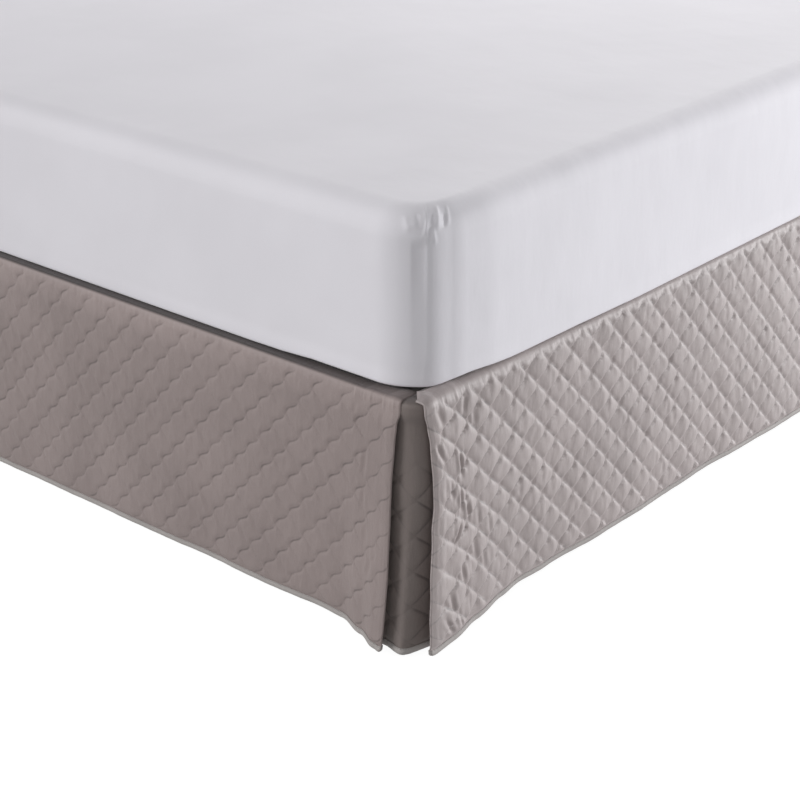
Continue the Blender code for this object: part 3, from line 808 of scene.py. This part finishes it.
def build_foundation(material):
    line = outline(np.array(BASE_LOW)[:2], np.array(BASE_HIGH)[:2], BASE_CORNER, 0.05, 0.004)
    height = BASE_HIGH.z - BASE_LOW.z
    # (height, inset) from the bottom up: a welt at both edges, a soft border between them.
    welt = [(0.000, 0.010), (0.0008, 0.0050), (0.002, 0.0016), (0.004, 0.0004), (0.006, 0.0012),
            (0.0075, 0.0032), (0.009, 0.0036), (0.014, 0.0022)]
    border = [(0.014 + (height - 0.028) * i / 12, 0.0022 - 0.0012 * math.sin(math.pi * i / 12))
              for i in range(1, 12)]
    rings = []
    for z, inset in welt + border + [(height - z, inset) for z, inset in reversed(welt)]:
        xy = line[:, :2] - line[:, 2:4] * inset
        rings.append(np.column_stack((xy, np.full(len(xy), BASE_LOW.z + z))))
    return lofted("foundation_box", rings, material)


def build_deck(material):
    """Flat cloth with a stitched rim."""
    low, high = (np.array(point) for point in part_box("deck"))
    line = outline(low[:2], high[:2], BASE_CORNER - DECK_INSET, 0.03, 0.004)
    middle = (low + high) / 2
    thick = high[2] - low[2]
    rim, stitch_line = 0.016, 0.0188
    insets = (0.30, 0.10, 0.04, 0.0195, stitch_line, 0.0180, 0.010, 0.0012, 0.0003)
    levels = [(inset, low[2]) for inset in insets] + [(0.0, low[2] + thick / 2)]
    for inset in reversed(insets):
        groove = 0.35 * thick if inset == stitch_line else 0.0
        levels.append((inset, high[2] - groove))
    rings = []
    for inset, z in levels:
        xy = line[:, :2] - line[:, 2:4] * min(inset, rim)
        if inset > rim:
            # Beyond the rim an inset is a share of the way to the middle.
            xy = xy + (middle[:2] - xy) * (inset - rim)
        rings.append(np.column_stack((xy, np.full(len(xy), z))))
    return lofted("deck_cloth", rings, material)


# ---- Materials ----
SOFT_SHEEN = {"Sheen Roughness": 0.45, "Sheen Tint": (0.95, 0.90, 0.90, 1.0)}


class Nodes:
    """A new material's node tree, with short ways to add to it."""

    def __init__(self, name):
        self.material = bpy.data.materials.new(name)
        self.material.use_nodes = True
        self.tree = self.material.node_tree
        self.shader = self.tree.nodes["Principled BSDF"].inputs

    def add(self, kind, inputs=None, **settings):
        """A node with its settings, and its inputs linked or set by name or number."""
        node = self.tree.nodes.new(kind)
        for key, value in settings.items():
            setattr(node, key, value)
        for key, value in (inputs or {}).items():
            if isinstance(value, bpy.types.NodeSocket):
                self.tree.links.new(value, node.inputs[key])
            else:
                node.inputs[key].default_value = value
        return node

    def set(self, roughness, specular, others):
        """Set the shader's constants."""
        values = {"Roughness": roughness, "Specular IOR Level": specular, **others}
        for key, value in values.items():
            self.shader[key].default_value = value

    def world(self):
        return self.add("ShaderNodeTexCoord").outputs["Object"]

    def cloth(self):
        """The vector that make_object stored at each point."""
        return self.add("ShaderNodeAttribute", attribute_name="cloth").outputs["Vector"]

    def split(self, vector):
        return self.add("ShaderNodeSeparateXYZ", {0: vector}).outputs

    def calc(self, operation, *values):
        inputs = dict(enumerate(values))
        return self.add("ShaderNodeMath", inputs, operation=operation).outputs[0]

    def product(self, first, *others):
        for other in others:
            first = self.calc("MULTIPLY", first, other)
        return first

    def less(self, value, share):
        """1 where the value is 0, and 1 less the share where it is 1."""
        return self.calc("MULTIPLY_ADD", value, -share, 1.0)

    def ramp(self, value, low, high, to_low=0.0, to_high=1.0):
        inputs = {"Value": value, "From Min": low, "From Max": high,
                  "To Min": to_low, "To Max": to_high}
        node = self.add("ShaderNodeMapRange", inputs, interpolation_type="SMOOTHSTEP")
        return node.outputs["Result"]

    def noise(self, vector, scale, detail=3.0, rough=0.5, stretch=(1, 1, 1)):
        moved = self.add("ShaderNodeVectorMath", {0: vector, 1: stretch}, operation="MULTIPLY")
        inputs = {"Vector": moved.outputs[0], "Scale": scale, "Detail": detail,
                  "Roughness": rough}
        return self.add("ShaderNodeTexNoise", inputs).outputs["Fac"]

    def weave(self, vector, pitch):
        """Height of a plain weave, 0 to 1, from a flat coordinate in metres."""
        across, down = (self.product(axis, math.tau / pitch) for axis in self.split(vector)[:2])
        waves = self.product(self.calc("SINE", across), self.calc("SINE", down))
        return self.calc("MULTIPLY_ADD", waves, 0.5, 0.5)

    def paint(self, colour, *factors):
        """Link a colour, times the factors, to the shader."""
        inputs = {0: colour, "Scale": self.product(*factors)}
        scaled = self.add("ShaderNodeVectorMath", inputs, operation="SCALE")
        self.tree.links.new(scaled.outputs[0], self.shader["Base Color"])

    def emboss(self, *heights):
        """Link a bump to the shader, from pairs of (height, its size in metres)."""
        total = self.product(*heights[0])
        for height, size in heights[1:]:
            total = self.calc("MULTIPLY_ADD", height, size, total)
        bump = self.add("ShaderNodeBump", {"Height": total, "Distance": 1.0, "Strength": 1.0})
        self.tree.links.new(bump.outputs[0], self.shader["Normal"])


def quilt_material(name, colour, crossing, lip_shade, fold_painted_light, gloss):
    """Quilted cloth, with the depth of the painted groove shade on its rising lines, the painted
    shade on its lip, and the painted light at its fold's height: over 1 a painted highlight,
    under 1 painted shade.
    """
    n = Nodes(name)
    where, world = n.cloth(), n.world()
    across, down, marked = n.split(where)
    height = n.split(world)[2]
    # The stitches' strength over 0, the lip's painted shade under 0.
    mask = n.calc("MAXIMUM", marked, 0.0)
    lip = n.calc("MAXIMUM", n.product(marked, -1.0), 0.0)
    u = n.calc("DIVIDE", n.calc("ADD", across, down), DIAGONAL)
    v = n.calc("DIVIDE", n.calc("SUBTRACT", across, down), DIAGONAL)
    stitch_length = 0.0045
    # Painted shade in the grooves along the stitch lines, patchy and faint near the crossings; the
    # threads' darkening is their own colour.
    threads, painted_groove_shades = [], []
    for line, run, deep in ((u, v, crossing), (v, u, 1.0)):
        off = n.product(n.calc("PINGPONG", line, 0.5), DIAGONAL / math.sqrt(2))
        dash = n.calc("PINGPONG", n.product(run, DIAGONAL / stitch_length), 0.5)
        close = n.ramp(off, 0.0003, 0.0008, 1.0, 0.0)
        threads.append(n.product(n.ramp(dash, 0.10, 0.22), close))
        middle = n.ramp(n.calc("PINGPONG", run, 0.5), 0.04, 0.24, 0.15, 1.0)
        painted_groove_shades.append(n.product(n.ramp(off, 0.0004, 0.0024, deep, 0.0), middle))
    thread = n.product(n.calc("MAXIMUM", *threads), mask)
    patchy = n.ramp(n.noise(world, 34.0, 2.0), 0.35, 0.65, 0.35, 1.0)
    groove = n.product(n.calc("MAXIMUM", *painted_groove_shades), mask, patchy)
    fine = n.noise(world, 900.0, 3.0, 0.7)
    # Random tone, painted groove shade, thread colour, painted shade on the lip, and painted light
    # at the fold's height.
    n.paint(colour, n.ramp(n.noise(world, 7.0, 3.0), 0.3, 0.7, 0.95, 1.05),
            n.ramp(fine, 0.25, 0.75, 0.93, 1.07), n.less(groove, 0.36), n.less(thread, 0.08),
            n.less(lip, lip_shade), n.ramp(height, 0.335, 0.372, 1.0, fold_painted_light))
    n.set(0.58, gloss, {"Sheen Weight": 0.45 * gloss, **SOFT_SHEEN})
    wrinkles = n.noise(where, 150.0, 3.0, 0.55, (1.0, 0.22, 0.0))
    n.emboss((n.weave(where, 0.0011), 0.00007), (wrinkles, 0.0008),
             (n.noise(world, 60.0, 2.0), 0.0004), (thread, 0.00018), (fine, 0.00008))
    return n.material


def binding_material(name, colour):
    n = Nodes(name)
    where, world = n.cloth(), n.world()
    along, down, _ = n.split(where)
    # One stitch line, 1.5 mm from the strip's upper edge.
    line = n.calc("ABSOLUTE", n.calc("SUBTRACT", down, 0.0015))
    dash = n.calc("PINGPONG", n.calc("DIVIDE", along, 0.0036), 0.5)
    stitch = n.product(n.ramp(line, 0.0003, 0.0007, 1.0, 0.0), n.ramp(dash, 0.10, 0.20))
    n.paint(colour, n.ramp(n.noise(world, 14.0), 0.3, 0.7, 0.94, 1.06),
            n.ramp(n.noise(world, 900.0, 3.0, 0.7), 0.25, 0.75, 0.93, 1.07),
            n.less(stitch, 0.18))
    n.set(0.60, 0.30, {"Sheen Weight": 0.22, **SOFT_SHEEN})
    tucks = n.noise(where, 260.0, 2.0, 0.5, (1.0, 0.3, 0.0))
    n.emboss((tucks, 0.0006), (n.weave(where, 0.0010), 0.00006), (stitch, 0.00018))
    return n.material


def cover_material(name, colour):
    """The white fitted cover: fine plain weave with slack, soft unevenness."""
    n = Nodes(name)
    world = n.world()
    fine = n.noise(world, 1100.0, 2.0, 0.6)
    n.paint(colour, n.ramp(n.noise(world, 5.0), 0.3, 0.7, 0.985, 1.015),
            n.ramp(fine, 0.25, 0.75, 0.985, 1.015))
    n.set(0.72, 0.25, {"Sheen Weight": 0.08})
    creases = n.noise(world, 38.0, 3.0, 0.5, (1.0, 1.0, 0.35))
    n.emboss((n.noise(world, 6.0, 2.0), 0.004), (creases, 0.0005), (fine, 0.00004))
    return n.material


def plain_cloth_material(name, colour, pitch, roughness):
    """Deck and ticking: a visible plain weave with heathered threads."""
    n = Nodes(name)
    world = n.world()
    threads = n.calc("ADD", n.noise(world, 700.0, 2.0, 0.6, (1.0, 0.15, 1.0)),
                     n.noise(world, 700.0, 2.0, 0.6, (0.15, 1.0, 0.15)))
    n.paint(colour, n.ramp(threads, 0.7, 1.3, 0.90, 1.08),
            n.ramp(n.noise(world, 6.0), 0.3, 0.7, 0.96, 1.04))
    n.set(roughness, 0.25, {"Sheen Weight": 0.10})
    n.emboss((n.weave(world, pitch), 0.00012), (threads, 0.0001),
             (n.noise(world, 20.0), 0.0008))
    return n.material


def wood_material(name, dark, light):
    n = Nodes(name)
    world = n.world()
    grain = n.noise(world, 90.0, 5.0, 0.6, (1.0, 1.0, 0.08))
    pores = n.noise(world, 800.0, 2.0, 0.6, (1.0, 1.0, 0.05))
    inputs = {"Fac": n.ramp(grain, 0.32, 0.68), "Color1": dark, "Color2": light}
    blend = n.add("ShaderNodeMixRGB", inputs)
    n.tree.links.new(blend.outputs[0], n.shader["Base Color"])
    n.tree.links.new(n.ramp(pores, 0.3, 0.7, 0.36, 0.52), n.shader["Roughness"])
    n.emboss((pores, 0.00012), (grain, 0.0002))
    return n.material


# ---- Camera, floor and light ----
def make_camera():
    """The camera that was fitted to the photograph."""
    data = bpy.data.cameras.new("camera")
    data.sensor_fit = "HORIZONTAL"
    data.sensor_width = 36.0
    data.lens = 86.625
    data.clip_start = 0.05
    data.clip_end = 200.0
    right = Vector((0.75689988, 0.65351249, -0.00489957))
    up = Vector((-0.27138661, 0.32112312, 0.90731982))
    back = Vector((0.59451819, -0.68542058, 0.42041259))
    place = (2.26177582, -2.76680646, 1.47437835)
    camera = place_in_scene("camera", data)
    turn = Matrix((right, up, back)).transposed()
    camera.matrix_world = Matrix.Translation(place) @ turn.to_4x4()
    bpy.context.scene.camera = camera


def make_floor():
    """A plain pale floor that the bed's colours don't light up."""
    size = 200.0
    mesh = bpy.data.meshes.new("floor")
    corners = [(-size, -size, 0), (size, -size, 0), (size, size, 0), (-size, size, 0)]
    mesh.from_pydata(corners, [], [(0, 1, 2, 3)])
    n = Nodes("studio_floor")
    n.set(0.9, 0.1, {"Base Color": (0.22, 0.22, 0.22, 1.0),
                     "Emission Color": (1.0, 1.0, 1.0, 1.0), "Emission Strength": 0.93})
    mesh.materials.append(n.material)
    floor = place_in_scene("floor", mesh)
    floor.visible_diffuse = False
    floor.visible_glossy = False


def add_light(name, kind, power, turn, **settings):
    data = bpy.data.lights.new(name, kind)
    data.energy = power
    for key, value in settings.items():
        setattr(data, key, value)
    lamp = place_in_scene(name, data)
    lamp.rotation_mode = "QUATERNION"
    lamp.rotation_quaternion = turn
    return lamp


def area_light(name, place, aim, size, power, colour=(1, 1, 1)):
    turn = (Vector(aim) - Vector(place)).to_track_quat("-Z", "Y")
    lamp = add_light(name, "AREA", power, turn, shape="RECTANGLE", size=size[0],
                     size_y=size[1], color=colour)
    lamp.location = place


def sun_light(name, direction, strength, spread):
    """A soft, even light from a direction, its spread in degrees."""
    turn = Vector(direction).to_track_quat("Z", "Y")
    add_light(name, "SUN", strength, turn, angle=math.radians(spread))


def make_light():
    world = bpy.data.worlds.new("studio")
    world.use_nodes = True
    background = world.node_tree.nodes["Background"]
    background.inputs["Color"].default_value = (1.0, 1.0, 1.0, 1.0)
    background.inputs["Strength"].default_value = 0.34
    bpy.context.scene.world = world
    area_light("right", (4.0, 4.2, 0.5), (0.8, -0.3, 0.3), (2.4, 0.9), 285.0, (0.98, 0.99, 1.0))
    area_light("top", (-1.5, 4.0, 3.0), (0.2, 0.0, 0.65), (3.0, 3.0), 160.0)
    sun_light("left", (-0.68, -0.66, 0.32), 1.72, 40)
    sun_light("front", (0.60, -0.70, 0.35), 0.38, 60)
    bpy.context.scene.view_settings.view_transform = "Standard"


# ---- The whole ----
def finish_piece(piece, node):
    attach(piece, "root")
    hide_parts(node)


def build_bed():
    base = build_foundation(plain_cloth_material("base_ticking", (0.44, 0.42, 0.40), 0.0014, 0.85))
    finish_piece(base, "foundation")
    deck = build_deck(plain_cloth_material("deck_weave", (0.27, 0.245, 0.235), 0.0012, 0.75))
    finish_piece(deck, "deck")
    mattress = build_mattress(cover_material("white_cover", (0.797, 0.779, 0.825)))
    finish_piece(mattress, "mattress")
    wood = wood_material("leg_wood", (0.035, 0.020, 0.012, 1), (0.10, 0.060, 0.036, 1))
    for number in range(1, 7):
        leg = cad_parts[f"leg_{number}"]
        leg.data.materials.clear()
        leg.data.materials.append(wood)


def sew(piece, quilt, binding):
    """Build a quilted piece, then the binding on its hem."""
    node = piece.name.removesuffix("_cloth")
    hem = f"binding_{node.removeprefix('panel_')}"
    cloth = piece.build(quilt)
    finish_piece(cloth, node)
    strip = build_binding(f"{hem}_strip", piece, binding)
    finish_piece(strip, hem)


def build_skirt():
    # Each cloth: colour, depth of the painted groove shade on its rising lines, painted shade on
    # its lip and painted light at its fold, gloss.
    quilt = quilt_material("quilted_taupe", (0.302, 0.247, 0.238), 0.0, 0.84, 1.15, 0.4)
    # The sides' colour is the same cloth made lighter: painted light.
    sides = quilt_material("quilted_taupe_sides_painted_light", (0.404, 0.346, 0.340), 0.7, 0.70, 0.91, 1.0)
    # The inserts' colour is the same cloth made darker: painted shade in the slits.
    shaded = quilt_material("quilted_taupe_insert", (0.190, 0.156, 0.145), 0.8, 0.62, 1.0, 0.6)
    binding = binding_material("binding_taupe", (0.400, 0.372, 0.360))
    sew(Panel("foot", FootStyle, 1, SEED), quilt, binding)
    sew(Panel("right", SideStyle, 1, SEED + 1), sides, binding)
    sew(Panel("left", SideStyle, -1, SEED + 2), sides, binding)
    sew(Insert("right", 1, SEED + 6), shaded, binding)
    sew(Insert("left", -1, SEED + 4), shaded, binding)


make_camera()
make_floor()
make_light()
build_bed()
build_skirt()
